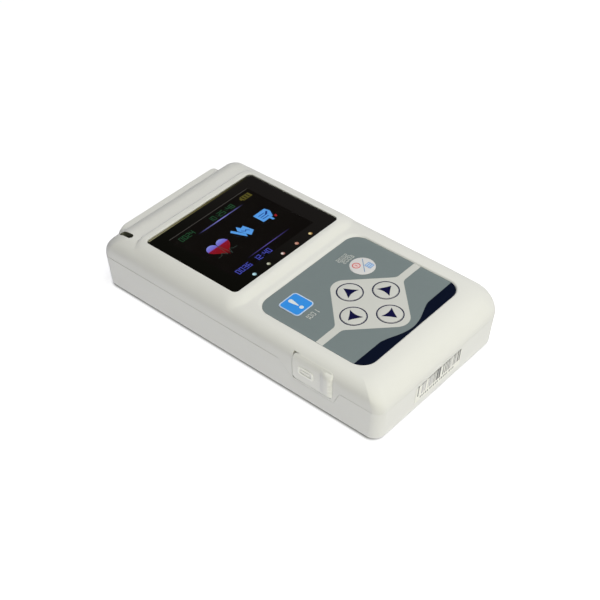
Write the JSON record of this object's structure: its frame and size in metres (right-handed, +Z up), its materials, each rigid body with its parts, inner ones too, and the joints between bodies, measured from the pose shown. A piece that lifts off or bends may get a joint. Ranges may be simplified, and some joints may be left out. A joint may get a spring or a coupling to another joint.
{
  "type": "ecg home monitor",
  "caption": "Hand-held ECG home monitor: two-half white case, dark screen window over lamps, printed keypad with keys, side port flap, lead socket and battery door.",
  "frame": {"origin": "centre of the underside, on the plane the monitor lies on", "axes": "+Y from the keypad end to the screen and lead socket end, +X to the right of a reader, +Z up out of the screen"},
  "size_m": [0.0762, 0.1395, 0.0248],
  "materials": {
    "case": "fine moulded satin, warm white",
    "window": "polished dark clear plastic",
    "mask": "black print",
    "display": "dark display glass, lit from within",
    "steel": "plated steel",
    "board": "solder mask green",
    "keypad": "printed polyester film, fine matt",
    "key_pale": "printed film over a key, off-white with a dark arrowhead",
    "key_white": "printed film over a key, white",
    "key_blue": "printed film over a key, blue",
    "socket": "black moulding",
    "contacts": "gilt",
    "cell": "shrink sleeve, green",
    "label": "white label with plain bars",
    "flap": "soft white rubber",
    "lamp": "clear epoxy lens"
  },
  "bodies": {
    "case": {"bottom_cover": "case", "top_cover": "case", "window_lens": "window", "window_mask": "mask", "display_glass": "display", "display_frame": "steel", "main_board": "board", "key_board": "board", "keypad_sheet": "keypad", "lead_socket": "socket", "lead_pins": "contacts", "port_shell": "steel", "port_tongue": "socket", "battery_1": "cell", "battery_2": "cell", "battery_springs": "steel", "battery_plate": "steel", "end_label": "label", "switch_mark": "steel", "switch_power": "steel", "switch_up": "steel", "switch_down": "steel", "switch_left": "steel", "switch_right": "steel", "lamp_1": "lamp", "lamp_2": "lamp", "lamp_3": "lamp", "lamp_4": "lamp", "lamp_5": "lamp", "case_screw_1": "steel", "case_screw_2": "steel", "case_screw_3": "steel", "case_screw_4": "steel"},
    "battery_door": {"battery_door": "case"},
    "port_flap": {"port_flap": "flap"},
    "key_mark": {"key_mark": "key_blue"},
    "key_power": {"key_power": "key_white"},
    "key_up": {"key_up": "key_pale"},
    "key_down": {"key_down": "key_pale"},
    "key_left": {"key_left": "key_pale"},
    "key_right": {"key_right": "key_pale"}
  },
  "joints": [
    {"name": "press_mark", "type": "slide", "parent": "case", "child": "key_mark", "axis": [0, 0, -1], "range_m": [0, 0.0004], "stiffness_N_per_m": 900},
    {"name": "press_power", "type": "slide", "parent": "case", "child": "key_power", "axis": [0, 0, -1], "range_m": [0, 0.0004], "stiffness_N_per_m": 900},
    {"name": "press_up", "type": "slide", "parent": "case", "child": "key_up", "axis": [0, 0, -1], "range_m": [0, 0.0004], "stiffness_N_per_m": 900},
    {"name": "press_down", "type": "slide", "parent": "case", "child": "key_down", "axis": [0, 0, -1], "range_m": [0, 0.0004], "stiffness_N_per_m": 900},
    {"name": "press_left", "type": "slide", "parent": "case", "child": "key_left", "axis": [0, 0, -1], "range_m": [0, 0.0004], "stiffness_N_per_m": 900},
    {"name": "press_right", "type": "slide", "parent": "case", "child": "key_right", "axis": [0, 0, -1], "range_m": [0, 0.0004], "stiffness_N_per_m": 900},
    {"name": "flap_swing", "type": "hinge", "parent": "case", "child": "port_flap", "pos_m": [-0.0364, -0.03115, 0.0154], "axis": [0, 0, -1], "range_deg": [0, 95]},
    {"name": "battery_door_swing", "type": "hinge", "parent": "case", "child": "battery_door", "pos_m": [0, -0.006, 0.0009], "axis": [1, 0, 0], "range_deg": [0, 75]}
  ]
}
